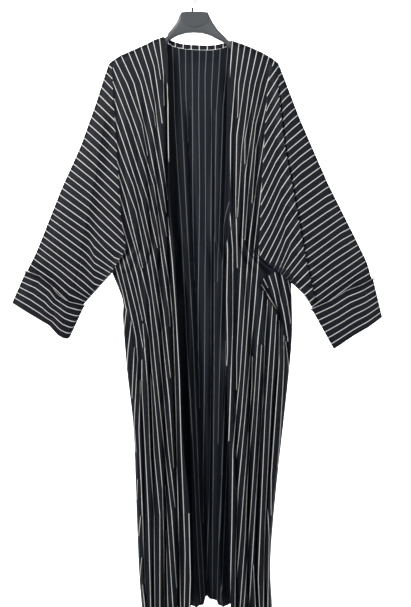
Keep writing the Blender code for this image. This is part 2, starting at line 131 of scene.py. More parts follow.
CUFF_END = {-1: ((0.456, 0.8085), (0.311, 0.896)), 1: ((0.469, 0.8435), (0.348, 0.9235))}

# Valleys between folds, from the front edge outwards, or across the back from -X to +X: (share of width at
# the chest, the knee and the hem; depth of the valley there)
FRONT_VALLEYS = {
    -1: [(0.05, 0.11, 0.26, 0.006, 0.018, 0.028),
         (0.25, 0.32, 0.53, 0.007, 0.016, 0.024),
         (0.42, 0.59, 0.75, 0.006, 0.014, 0.020),
         (0.65, 0.79, 0.90, 0.005, 0.010, 0.014)],
    1: [(0.07, 0.15, 0.16, 0.004, 0.014, 0.022),
        (0.39, 0.38, 0.45, 0.007, 0.018, 0.026),
        (0.66, 0.59, 0.64, 0.006, 0.016, 0.020),
        (0.85, 0.79, 0.86, 0.004, 0.014, 0.014)],
}
BACK_VALLEYS = [
    (0.10, 0.10, 0.10, 0.003, 0.010, 0.018),
    (0.25, 0.22, 0.22, 0.005, 0.014, 0.022),
    (0.416, 0.38, 0.424, 0.005, 0.015, 0.026),
    (0.56, 0.49, 0.53, 0.003, 0.006, 0.008),
    (0.674, 0.592, 0.624, 0.004, 0.012, 0.020),
    (0.79, 0.74, 0.77, 0.004, 0.014, 0.022),
    (0.90, 0.88, 0.89, 0.003, 0.010, 0.016),
]
VALLEY_DEPTHS = (0.300, 0.560, 1.051, 1.566)

# The overlap where a sleeve lies on the body: (depth, how deep the body dips beside the sleeve's lip)
LIP_DIP = {
    -1: [(0.21, 0.000), (0.28, 0.004), (0.45, 0.008), (0.62, 0.011), (0.69, 0.013), (0.74, 0.004)],
    1: [(0.21, 0.002), (0.28, 0.009), (0.45, 0.012), (0.62, 0.015), (0.69, 0.016), (0.74, 0.006)],
}
LIP_INSET = {-1: 0.0050, 1: 0.0065}
LIP_WIDTH = {-1: (0.010, 0.0026), 1: (0.013, 0.0034)}

# The line where a sleeve's cloth steps, as (distance along its outer edge, distance in), and how high
STEP_LINE = {
    -1: [(0.05, 0.030), (0.20, 0.062), (0.34, 0.092), (0.48, 0.118), (0.60, 0.140)],
    1: [(0.02, 0.012), (0.067, 0.028), (0.110, 0.0415), (0.194, 0.0675), (0.3425, 0.1027), (0.4785, 0.135),
        (0.60, 0.158)],
}
STEP_HEIGHT = {-1: 0.003, 1: 0.007}

# How far a sleeve's outer edge is bowed inwards: (share of the way to the cuff, distance)
BOW = {
    -1: [(0.0, 0.0), (0.2, 0.0075), (0.4, 0.0110), (0.6, 0.0050), (0.9, 0.0045), (1.0, 0.0)],
    1: [(0.0, 0.0), (0.25, 0.0065), (0.55, 0.0065), (0.8, -0.0015), (0.93, -0.0050), (1.0, 0.0)],
}

# How far a cuff's two edges are bent downwards, in the photograph's pixels: (share from outer corner, bend)
CUFF_BEND = {
    -1: ([(0, 0), (0.12, -1.5), (0.25, -3), (0.45, 0), (0.55, 5), (0.65, 6.2), (0.75, 6), (1, 1)],
         [(0, 0), (0.3, 0.3), (0.65, 0), (0.8, 4.5), (0.9, 4.2), (0.96, 2.5), (1, -1)]),
    1: ([(0, 0), (0.2, 0.8), (0.45, -1.2), (0.7, 1.0), (1, 0)], [(0, 0), (0.3, 0.8), (0.6, -0.5), (1, 0)]),
}

# How far the shoulder stands above a straight line from the neck to its tip: (out, height)
CROWN = {
    -1: [(0.0765, 0.0010), (0.101, 0.0033), (0.119, 0.0015), (0.186, 0.0010), (0.201, -0.0026),
         (0.2125, -0.0060), (0.222, 0.0)],
    1: [(0.0905, 0.0005), (0.119, 0.0045), (0.144, 0.0063), (0.166, 0.0067), (0.184, 0.0052),
        (0.199, 0.0023), (0.210, -0.0020), (0.222, 0.0)],
}
CROWN_FADE = 0.12

# Where the back's cloth comes round to the front and lies on it, as (out, depth), with the dip beside it
WRAP_LINE = {
    -1: [(0.215, 0.700), (0.206, 0.734), (0.186, 0.776), (0.169, 0.8235), (0.157, 0.8585), (0.150, 0.921),
         (0.140, 0.986), (0.149, 1.060), (0.158, 1.126), (0.152, 1.230), (0.1405, 1.330), (0.134, 1.420),
         (0.128, 1.566)],
    1: [(0.160, 0.735), (0.170, 0.7585), (0.201, 0.816), (0.214, 0.840), (0.228, 0.885), (0.236, 0.931),
        (0.240, 0.990), (0.240, 1.080), (0.216, 1.240), (0.196, 1.440), (0.200, 1.566)],
}
WRAP_DIP = {-1: 0.006, 1: 0.014}
WRAP_WIDTH = (0.020, 0.0016)
WRAP_SPAN = (0.752, 1.02)

# Places below are (across, down) in the photograph's pixels. The stripes' places are rounded to half of one.
# A program measured where pale peaks cross its rows and columns, and these few were chosen from that.
PIXEL = 0.0025
PIXEL_MIDDLE = 194.5
PIXEL_TOP = 0.051

# Lines that the pale stripes follow down each front. A line that stops has gone into a fold.
FRONT_STRIPES = {
    -1: [
        [(159.5, 38), (163.5, 75), (164.5, 108)],
        [(153, 41), (158, 62), (161, 80)],
        [(147, 44), (154.5, 68), (157, 85), (162.5, 125)],
        [(141, 47), (150, 75), (155.5, 105), (157.5, 125), (165, 175), (168, 200)],
        [(134, 50), (143.5, 75), (154.5, 115), (156, 128)],
        [(128, 52), (141.5, 85), (153.5, 137), (163, 187), (166.5, 213)],
        [(121.5, 57), (134.5, 85), (147.5, 137), (157.5, 187), (167, 236)],
        [(115, 60), (127.5, 85), (142.5, 125), (148, 157)],
        [(113.5, 69), (124.5, 95), (139.5, 137), (154.5, 187), (162, 237), (170, 287), (173.5, 325),
         (176, 400), (177.5, 475), (181, 606)],
        [(167.5, 86), (168.5, 150), (171, 200), (175, 232)],
        [(168, 218), (172.5, 262), (176, 312), (179.5, 375), (181.5, 450), (185.5, 550), (184.5, 606)],
        [(189, 510), (190.5, 575), (189.5, 606)],
        [(113.5, 83), (130.5, 125), (146.5, 175), (157.5, 225), (169.5, 312), (170.5, 328)],
        [(114.5, 99.5), (123.5, 125), (148, 200), (152.5, 225), (158, 248)],
        [(114.5, 117), (126, 150), (142, 200), (155.5, 262), (164, 312), (171, 378)],
        [(116, 140), (124, 162), (134, 187), (149.5, 250), (161.5, 325), (169.5, 400), (174, 465)],
        [(117, 160), (136.5, 212), (149.5, 275), (158.5, 337), (169, 450), (175.5, 504)],
        [(118.5, 174), (126.5, 200), (143, 268)],
        [(119.5, 194), (136.5, 250), (149.5, 300), (154.5, 350), (163.5, 437), (172, 512), (177, 585)],
        [(120.5, 217), (137.5, 275), (149.5, 337), (156.5, 412), (163, 487), (164.5, 550), (164.5, 606)],
        [(165.5, 484), (170, 550), (173.5, 606)],
        [(166, 528), (168.5, 606)],
        [(118.5, 229), (135.5, 287), (143, 320)],
        [(114, 234), (124.5, 262), (137, 312), (143.5, 346)],
        [(117, 250), (125.5, 287), (136.5, 337), (138, 360), (134.5, 425), (136.5, 452)],
        [(115, 263), (122.5, 290), (126.5, 309)],
        [(143.5, 325), (148.5, 387), (150.5, 450), (154.5, 512), (155.5, 606)],
        [(151, 374), (154.5, 450), (160.5, 512), (160.5, 606)],
        [(142.5, 360), (142.5, 387), (146, 450), (149, 512), (151.5, 606)],
        [(141, 379), (139.5, 430), (142.5, 500), (146, 590)],
        [(127, 310), (124, 333)],
        [(132, 322), (128.5, 350), (127, 368)],
        [(135, 347), (132.5, 397)],
        [(138, 479), (137, 498)],
        [(141.5, 513), (139, 536)],
        [(142.5, 555), (140, 577)],
        [(143, 582), (145.5, 606)],
    ],
    1: [
        [(225.5, 227), (227.5, 250), (226.5, 300), (227.5, 350), (226.5, 366)],
        [(232.5, 40), (229.5, 80)],
        [(239, 43), (235.5, 75), (230.5, 137), (229.5, 212), (232.5, 250), (232.5, 325), (228.5, 440)],
        [(245, 45), (238.5, 85), (237.5, 119)],
        [(251, 48), (244, 85), (236.5, 137), (235.5, 200), (237, 268)],
        [(257, 51), (249.5, 85), (241.5, 150), (237, 219)],
        [(263.5, 54), (255, 85), (244.5, 140), (244.5, 166)],
        [(269, 57), (260.5, 85), (252.5, 125), (245, 175), (241.5, 250), (236.5, 355), (236.5, 389)],
        [(274.5, 60), (266.5, 85), (255.5, 125), (247.5, 200), (244.5, 240)],
        [(269, 93), (261.5, 125), (255.5, 150), (251.5, 204)],
        [(267, 123), (256, 187), (249.5, 237), (244.5, 300), (239.5, 375), (232.5, 450), (231.5, 525),
         (229.5, 606)],
        [(266, 148), (259.5, 200), (252.5, 262), (246.5, 337), (241, 412), (236, 458)],
        [(262, 208), (254.5, 300), (249.5, 362), (238, 487), (235, 562), (234.5, 606)],
        [(263, 290), (257.5, 337), (252.5, 412), (246.5, 487), (244.5, 537), (239.5, 606)],
        [(252, 355), (251.5, 387), (244.5, 475), (236.5, 575)],
        [(261, 345), (257.5, 400), (252.5, 475), (247.5, 550), (243, 606)],
        [(267.5, 299), (264.5, 337), (262.5, 400), (255, 500), (248.5, 606)],
        [(272, 307), (264.5, 412), (257.5, 575), (259, 606)],
        [(252.5, 560), (255, 606)],
        [(276, 315), (270.5, 400), (264.5, 520), (262.5, 606)],
        [(279, 322), (278.5, 362), (270.5, 475), (270.5, 514)],
        [(267, 508), (268.5, 537), (267, 606)],
        [(283.5, 336), (283.5, 362), (280, 425), (277.5, 466)],
        [(285, 341), (289, 370)],
        [(261.5, 285), (270.5, 300), (277, 310)],
        [(263, 279), (268, 289)],
        [(268.5, 276), (273.5, 292), (276.5, 309)],
        [(274, 273), (283, 312), (287.5, 340)],
        [(279.5, 268), (286.5, 300), (290.5, 325)],
        [(284.5, 270), (291, 294)],
    ],
}

# The same for the back, as seen inside the open front. Beyond them it has straight stripes at this spacing.
BACK_STRIPES = [
    [(172.5, 46), (174.5, 115), (182.5, 250), (190, 400), (200.5, 606)],
    [(178.5, 46), (185.5, 200), (193, 350), (199, 506), (204.5, 606)],
    [(185.5, 46), (185.5, 90), (187.5, 140)],
    [(192, 46), (194, 280)],
    [(199.5, 46), (198.5, 95), (199.5, 187), (198.5, 300), (199, 410)],
    [(206.5, 46), (205, 75), (205.5, 190), (204.5, 430), (202.5, 525)],
    [(213.5, 46), (211.5, 90), (210.5, 390), (207, 606)],
    [(220.5, 46), (216.5, 110), (214.5, 290), (214.5, 390), (212, 606)],
    [(228, 46), (223, 105), (217.5, 282)],
    [(230, 200), (223.5, 225), (220.5, 340), (218.5, 446)],
    [(226.5, 340), (223.5, 425), (217.5, 606)],
    [(227.5, 440), (221, 606)],
]
BACK_SPACING = 6.72
BACK_BOUNDS = (166.5, 233.0)

# Lines that stripes follow round each sleeve, as (stripe's count, places). Inside is the body's side of the
# line where the left sleeve's cloth steps, and outside the other.
SLEEVE_OUTSIDE = {
    -1: [
        (-13, [(100, 34), (120, 52)]),
        (-11, [(104, 50), (119, 67.5), (121, 75)]),
        (-10, [(104, 62), (115, 72.5), (119.5, 84)]),
        (-8, [(105, 81.5), (115, 92.5), (119.5, 104)]),
        (-5, [(97, 104), (115, 121.5), (119, 130.5)]),
        (-2, [(88, 124), (105, 139.5), (119, 154.5), (122, 160)]),
        (1, [(80, 143.5), (95, 157), (119, 179.5), (122, 184.5)]),
        (4, [(73, 164), (95, 181.5), (122, 207.5)]),
        (7, [(66, 183), (90, 201.5), (119, 229.5), (127, 238)]),
        (9, [(60, 195), (90, 217), (100, 228), (122, 247.5)]),
        (11, [(56, 209), (90, 232.5), (105, 249), (115, 258), (119, 259.5)]),
        (13, [(52, 219.5), (90, 248), (95, 256.5), (110, 267)]),
        (15, [(45, 230), (85, 259.5), (95, 270), (104, 275)]),
        (17, [(41, 242), (85, 275), (95, 284), (98, 285)]),
        (19, [(36, 252), (62, 271.5), (85, 290.5), (89, 294)]),
        (21, [(30, 264), (55, 281), (70, 294.5), (84, 301)]),
    ],
    1: [
        (-14, [(292, 42), (276, 55)]),
        (-12, [(284, 62), (276, 70.5)]),
        (-10, [(289, 77), (280, 85.5)]),
        (-8, [(294, 91.5), (285, 99.5), (280, 105.5)]),
        (-5, [(301, 113), (290, 122.5), (285, 128)]),
        (-2, [(308, 134.5), (290, 149.5)]),
        (1, [(316, 154), (300, 165.5), (290, 175)]),
        (4, [(323, 174), (300, 191), (295, 196)]),
        (7, [(334, 193), (325, 197.5), (300, 215.5)]),
        (10, [(339, 212), (310, 232), (305, 235.5)]),
        (13, [(348, 229.5), (340, 233.5), (310, 255.5)]),
        (16, [(355, 246.5), (332, 261.5), (310, 278)]),
        (19, [(362, 263.5), (332, 284.5), (310, 301)]),
        (21, [(370, 273), (355, 281.5), (318, 309)]),
    ],
}
SLEEVE_INSIDE = {
    -1: SLEEVE_OUTSIDE[-1],
    1: [
        (-10, [(280, 42), (270, 58)]),
        (-8, [(280, 65), (270, 79)]),
        (-6, [(280, 86), (270, 104), (268, 108)]),
        (-4, [(280, 109.5), (266, 132)]),
        (-2, [(285, 126), (275, 139.5), (266, 156.5)]),
        (0, [(290, 141), (275, 163.5), (262, 191)]),
        (2, [(290, 164), (280, 178.5), (266, 207.5), (262, 214.5)]),
        (4, [(290, 187.5), (280, 202.5), (270, 225), (262, 239)]),
        (5, [(295, 191), (285, 206), (270, 237), (262, 251.5)]),
        (7, [(300, 207.5), (285, 229), (280, 242), (270, 261.5), (262, 278)]),
        (8, [(300, 218.5), (285, 240.5), (275, 265.5), (270, 275.5)]),
        (9, [(300, 229.5), (290, 243.5), (282, 262)]),
        (10, [(300, 241), (290, 253.5), (285, 263.5)]),
        (11, [(305, 245), (290, 264.5)]),
        (12, [(305, 254), (295, 267)]),
        (13, [(305, 264.5), (300, 270)]),
        (16, [(312, 288), (300, 298)]),
        (18, [(316, 306), (305, 316)]),
    ],
}

# Narrow creases of each front, and of the back's inside: (how deep, how wide, places)
CREASES = {
    -1: [
        (0.013, 0.0034, [(163, 70), (165.8, 95), (167, 120), (167.3, 205), (168.5, 250), (170, 300),
                         (171.7, 330), (172.8, 370), (175, 445), (177, 506), (178.7, 589), (179, 612)]),
        (0.005, 0.0036, [(154, 70), (155.8, 100), (156.5, 140), (158, 200), (159.5, 250), (160.5, 300),
                         (162, 360), (163, 420)]),
        (0.006, 0.0034, [(143, 92), (147, 150), (150, 200), (151.5, 250), (152, 300), (151, 340),
                         (150.4, 380), (150.8, 420), (152.2, 445), (152, 470)]),
        (0.004, 0.0036, [(134, 120), (137, 170), (139.5, 215), (141.3, 250), (142.5, 290), (143.4, 330),
                         (143, 352)]),
        (0.004, 0.0030, [(174, 285), (174.8, 310), (175.4, 345)]),
        (0.004, 0.0040, [(162, 380), (164, 430), (165, 480), (165.6, 540), (166.5, 600)]),
        (0.005, 0.0034, [(141.6, 515), (142, 540), (141.5, 565), (142, 590)]),
    ],
    1: [
        (0.006, 0.0040, [(236, 85), (235, 130), (233.4, 190), (234.6, 240), (235, 300), (234.6, 340)]),
        (0.007, 0.0040, [(250, 95), (249, 135), (248.8, 175), (248, 225), (245.8, 262), (246.6, 312),
                         (247, 330)]),
        (0.005, 0.0036, [(259, 125), (258.3, 155), (257.8, 190), (256.6, 237), (255.5, 265), (254, 290)]),
        (0.007, 0.0036, [(250, 318), (250.6, 345), (251.6, 375), (249.4, 400), (248.6, 430), (250.2, 462),
                         (248.6, 500), (247, 540)]),
        (0.004, 0.0036, [(229, 345), (227.8, 375), (227.3, 430), (227.4, 480)]),
        (0.005, 0.0036, [(258.6, 395), (257.6, 430), (257.8, 470), (257.4, 505), (256, 540)]),
    ],
}
BACK_CREASES = [
    (0.012, 0.0065, [(187, 100), (190.5, 190), (195, 280), (197.6, 350), (201.5, 430), (204.2, 510),
                     (207.5, 590), (208.5, 620)]),
    (0.006, 0.0050, [(213, 105), (214.6, 180), (213.6, 270), (212.6, 380), (212, 460), (211, 540)]),
    (0.007, 0.0070, [(228, 60), (226.8, 130), (225, 200), (226.5, 330), (229, 420), (230, 606)]),
]

# Inside the opening the back's hem hangs lower than the rest, except at one notch: (across, how much lower)
HEM_DROP = [(178, 0.0), (184, 0.008), (203.5, 0.008), (205.5, -0.016), (209, -0.010), (217, -0.003),
            (218.5, 0.008), (228, 0.008), (234, 0.0)]

# View: the photograph's centre, its scale and the camera's distance
CENTRE = (0.0275, -0.810)
FRAME_HEIGHT = 1.5175
DISTANCE = 3.2


def smooth_path(points, shares):
    """Places at shares of the length of the smooth curve through the points."""
    points = [np.array(point) for point in points]
    ends = [2 * points[0] - points[1], *points, 2 * points[-1] - points[-2]]
    steps = np.linspace(0, 1, 12, endpoint=False)[:, None]
    runs = []
    for before, start, end, after in zip(ends, ends[1:], ends[2:], ends[3:]):
        first = (end - before) / 2
        last = (after - start) / 2
        cubic = 2 * start - 2 * end + first + last
        square = 3 * end - 3 * start - 2 * first - last
        runs.append(((cubic * steps + square) * steps + first) * steps + start)
    path = np.concatenate(runs + [ends[-2][None]])
    along = np.concatenate([[0], np.cumsum(np.linalg.norm(np.diff(path, axis=0), axis=1))])
    return np.stack([np.interp(np.array(shares) * along[-1], along, line) for line in path.T], axis=-1)


def rounded_table(table, depth):
    """The first column where the second is this depth, on a smooth line through the table's places."""
    path = smooth_path(table, np.linspace(0, 1, 200))
    return np.interp(depth, path[:, 1], path[:, 0])


def column(table, depth):
    """The second column of a table where the first is this depth."""
    depths, values = np.array(table).T
    return np.interp(depth, depths, values)


def thickness(depth):
    return column(THICKNESS, depth)


def quarter_round(drop, radius):
    """How far out a round shoulder has come, as a share, once this far below its top."""
    return np.sqrt(1 - (1 - np.clip(drop / radius, 0, 1)) ** 2)


def row_shares(side):
    """Shares of the way from the shoulder to the underarm, close together round both edges of the sleeve."""
    length = ARMHOLE[side][-1][1] - NECK_POINT[side][1]
    turns = np.radians(np.linspace(0, 90, ROUND_ROWS + 1))
    edge = ROUNDING / length * (1 - np.cos(turns))
    middle = np.linspace(edge[-1], 1 - edge[-1], UPPER_ROWS + 1)
    return np.concatenate([edge[:-1], middle, 1 - edge[-2::-1]])


def row_ends(side):
    """Each row's inner end at the front edge and outer end at the armhole or side seam, as (out, depth)."""
    shares = row_shares(side)
    under = ARMHOLE[side][-1][1]
    inner_depth = NECK_POINT[side][1] + (under - NECK_POINT[side][1]) * shares
    outer = smooth_path(ARMHOLE[side], shares)
    lower = np.linspace(under, HEM_DEPTH, LOWER_ROWS + 1)[1:]
    inner_depth = np.concatenate([inner_depth, lower])
    outer = np.concatenate([outer, np.stack([rounded_table(SIDE_SEAM[side], lower), lower], axis=-1)])
    inner = np.stack([rounded_table(FRONT_EDGE[side], inner_depth), inner_depth], axis=-1)
    return inner, outer


def edge_share(side):
    """How far each row's outer end stands from the centre plane, as a share: none at a seam."""
    shares = row_shares(side)
    length = ARMHOLE[side][-1][1] - NECK_POINT[side][1]
    near = np.minimum(shares, 1 - shares) * length
    return np.concatenate([quarter_round(near, ROUNDING), np.zeros(LOWER_ROWS)])


def valleys_at(valleys, depth):
    """Each valley's share of the width and its own depth, at this depth below the rail."""
    _, chest, knee, hem = VALLEY_DEPTHS
    table = np.array(valleys)
    places = [np.interp(depth, (chest, knee, hem), row) for row in table[:, :3]]
    deep = [np.interp(depth, VALLEY_DEPTHS, (0, *row)) for row in table[:, 3:]]
    return np.array(places), np.array(deep)


def fold_line(knots, deep, phases, size):
    """Shares across and valley depths along one row of folds, with broad crests and narrow valleys.

    Phases run by a turn for each fold and are whole at a valley. Knots are (phase, share) pairs.
    """
    turns, shares = np.array(knots).T
    middle = np.interp(phases, turns, shares)
    period = np.interp(phases + 0.5, turns, shares) - np.interp(phases - 0.5, turns, shares)
    depth = np.interp(phases, turns, deep)
    lean = STEEPNESS * np.clip(depth / (0.4 * period * size + 1e-9), 0, 1)
    across = middle - lean * period * np.sin(2 * math.pi * phases) / (2 * math.pi)
    return across, depth * ((1 + np.cos(2 * math.pi * phases)) / 2) ** 1.5


def waves(across, along, seed, size):
    """Soft uneven ripples of the cloth, which run mostly along it."""
    draw = np.random.default_rng(seed)
    total = np.zeros(np.broadcast(across, along).shape)
    sizes = ((0.052, 0.60, 0.9), (0.033, 0.42, 0.7), (0.021, 0.31, 0.45), (0.013, 0.2, 0.2))
    for pitch, drift, share in sizes:
        first, second, third = draw.uniform(0, 2 * math.pi, 3)
        turn = 2 * math.pi * across / pitch + 1.3 * np.sin(2 * math.pi * along / drift + first) + second
        strength = 0.6 + 0.4 * np.sin(2 * math.pi * along / (1.7 * drift) + third)
        total += share * strength * np.sin(turn)
    return size * total


def from_picture(side, place):
    """(Out, depth) of a place given in the photograph's pixels."""
    return side * (place[0] - PIXEL_MIDDLE) * PIXEL, PIXEL_TOP + place[1] * PIXEL


def creased(creases, x, depth):
    """How far narrow creases take the cloth in, at places (x, depth)."""
    total = np.zeros(np.broadcast(x, depth).shape)
    for size, width, places in creases:
        line = np.array([from_picture(1, place) for place in places])
        middle = np.interp(depth, line[:, 1], line[:, 0])
        fade = np.clip((depth - line[0, 1]) / 0.05, 0, 1) * np.clip((line[-1, 1] - depth) / 0.05, 0, 1)
        total += size * fade * np.exp(-((x - middle) / width) ** 2)
    return total


def crowned(grid):
    """The same points with the shoulders raised into their soft curve."""
    out, depth = np.abs(grid[:, :, 0]), -grid[:, :, 2]
    for side in (-1, 1):
        (neck_out, neck_depth), (tip_out, tip_depth) = NECK_POINT[side], ARMHOLE[side][0]
        ridge = neck_depth + (tip_depth - neck_depth) * (out - neck_out) / (tip_out - neck_out)
        fade = np.clip(1 - (depth - ridge) / CROWN_FADE, 0, 1)
        here = grid[:, :, 0] * side > 0
        grid[:, :, 2] += np.where(here, column(CROWN[side], out) * fade ** 2 * (out > neck_out - 0.02), 0)
    return grid


def corners(values):
    """Values of a grid's points at the four corners of each of its cells."""
    return np.stack([values[:-1, :-1], values[:-1, 1:], values[1:, 1:], values[1:, :-1]], axis=-1)


def striped(lines, x, depth):
    """The stripe measure at the corners of each cell: a whole number of pitches on each line."""
    x, depth = corners(x), corners(depth)
    middle = depth.mean(axis=-1)
    before = np.full(x.shape, np.inf)
    after = np.full(x.shape, np.inf)
    count = np.zeros(x.shape)
    for places in lines:
        line = np.array([from_picture(1, place) for place in places])
        runs = (middle > line[0, 1]) & (middle < line[-1, 1])
        offset = x - np.interp(depth, line[:, 1], line[:, 0])
        past = runs[..., None] & (offset >= 0)
        short = runs[..., None] & (offset < 0)
        count += past
        before = np.where(past, np.minimum(before, offset), before)
        after = np.where(short, np.minimum(after, -offset), after)
    gap = np.minimum(before + after, PITCH)
    part = np.minimum(np.minimum(before, after) / gap, 0.5)
    return PITCH * (count + np.where(before < after, part, 1 - part))


def front_body(side):
    """The front's outer points as rows of (x, y, z), and the stripe measure of its cells' corners."""
    inner, outer = row_ends(side)
    edges = edge_share(side)
    valleys = FRONT_VALLEYS[side]
    last = len(valleys) + 1
    phases = np.linspace(0.5, last, FRONT_COLUMNS * (2 * last - 1) + 1)
    rows = []
    for row, (start, end) in enumerate(zip(inner, outer)):
        places, deep = valleys_at(valleys, start[1])
        knots = [(0.5, 0), *((turn + 1, share) for turn, share in enumerate(places)), (last, 1)]
        across, inward = fold_line(knots, [0, *deep, 0], phases, abs(end[0] - start[0]))
        depth = start[1] + (end[1] - start[1]) * across
        out = start[0] + (end[0] - start[0]) * across
        ridge = inner[0][1] + (outer[0][1] - inner[0][1]) * across
        rounded = quarter_round(depth - ridge, thickness(ridge))
        near_side = np.clip(across, 0, 1) ** 8
        share = np.sqrt(rounded ** 2 * (1 - near_side) + edges[row] ** 2 * near_side)
        past = out - (end[0] - LIP_INSET[side])
        width = np.where(past < 0, *LIP_WIDTH[side])
        lip = column(LIP_DIP[side], depth) * np.exp(-(past / width) ** 2)
        if depth[-1] > ARMHOLE[side][-1][1]:
            lip = 0
        wrap = wrapped(side, out, depth)
        ripple = waves(out, depth, 10 + side, 0.0008) * (1 - near_side)
        ripple = ripple * np.clip((depth - 0.2) / 0.3, 0.15, 1)
        crease = creased(CREASES[side], side * out, depth) * (1 - near_side)
        inward = inward * rounded + (lip + wrap + crease) * rounded + ripple
        stand = thickness(depth) * share - np.minimum(inward, 0.75 * thickness(depth) * share)
        rows.append(np.stack([side * out, -SEAM / 2 - stand, -depth], axis=-1))
    grid = np.array(rows)
    return crowned(grid), striped(FRONT_STRIPES[side], grid[:, :, 0], -grid[:, :, 2])


def wrapped(side, out, depth):
    """How far the front dips beside the edge where cloth from the back comes round and lies on it."""
    past = out - rounded_table(WRAP_LINE[side], depth)
    dip = np.exp(-(past / np.where(past < 0, *WRAP_WIDTH)) ** 2)
    fade = np.clip((depth - WRAP_SPAN[0]) / 0.02, 0, 1) * np.clip((WRAP_SPAN[1] - depth) / 0.10, 0, 1)
    return WRAP_DIP[side] * dip * fade


def edge_frame(side):
    """A sleeve's outer edge: its start at the shoulder's tip, and the directions along it and inwards."""
    tip = np.array(ARMHOLE[side][0])
    along = np.array(CUFF_TOP[side][0]) - tip
    along = along / np.linalg.norm(along)
    return tip, along, np.array([-along[1], along[0]])


def sleeve_place(side, out, depth):
    """Distances along the sleeve's outer edge and inwards from it."""
    tip, along, inwards = edge_frame(side)
    place = np.stack([out - tip[0], depth - tip[1]], axis=-1)
    return place @ along, place @ inwards


def sleeve_measure(lines, x, depth):
    """The stripe measure at points of a sleeve, between lines that each keep one stripe's count."""
    counts = np.array([count for count, _ in lines], float)
    heights = []
    for _, places in lines:
        line = np.array(sorted(from_picture(1, place) for place in places))
        slopes = np.diff(line[:, 1]) / np.diff(line[:, 0])
        height = np.interp(x, line[:, 0], line[:, 1])
        height = height + np.minimum(x - line[0, 0], 0) * slopes[0]
        height = height + np.maximum(x - line[-1, 0], 0) * slopes[-1]
        heights.append(height)
    heights = np.maximum.accumulate(np.array(heights) + 1e-5 * np.arange(len(heights))[:, None, None], axis=0)
    shape = x.shape
    heights, depth = heights.reshape(len(counts), -1), depth.ravel()
    above = np.clip((heights < depth).sum(axis=0) - 1, 0, len(counts) - 2)
    places = np.arange(len(depth))
    low, high = heights[above, places], heights[above + 1, places]
    part = np.clip((depth - low) / np.maximum(high - low, 1e-4), -3, 4)
    return PITCH * (counts[above] + part * (counts[above + 1] - counts[above])).reshape(shape)


def cuff_lines(side):
    """The cuff's top and end lines, each as its two corners in (x, z)."""
    return [np.array([(side * out, -depth) for out, depth in line[side]]) for line in (CUFF_TOP, CUFF_END)]


def cuff_bend(side, shares, station):
    """How far the cuff hangs below its straight outline, at shares of its width and of its depth."""
    top, end = (np.interp(shares, *np.array(table, float).T) for table in CUFF_BEND[side])
    return PIXEL * (top * (1 - station) + end * station)


def shrunk(line, by):
    """A line between two corners, shortened by this much at each."""
    along = line[1] - line[0]
    step = by * along / np.linalg.norm(along)
    return np.array([line[0] + step, line[1] - step])


def lens(shares):
    """Half the outline of a flattened tube, at shares of its width."""
    return (1 - np.abs(1 - 2 * shares) ** 3) ** (1 / 3)


def crossing(side, start, end):
    """The share of the way from start to end, in (x, z), where a sleeve's row crosses the step line."""
    shares = np.linspace(0.02, 0.9, 177)
    places = start + (end - start) * shares[:, None]
    along, inwards = sleeve_place(side, side * places[:, 0], -places[:, 1])
    outside = inwards < column(STEP_LINE[side], along)
    return shares[np.argmax(outside)] if outside.any() else shares[-1]


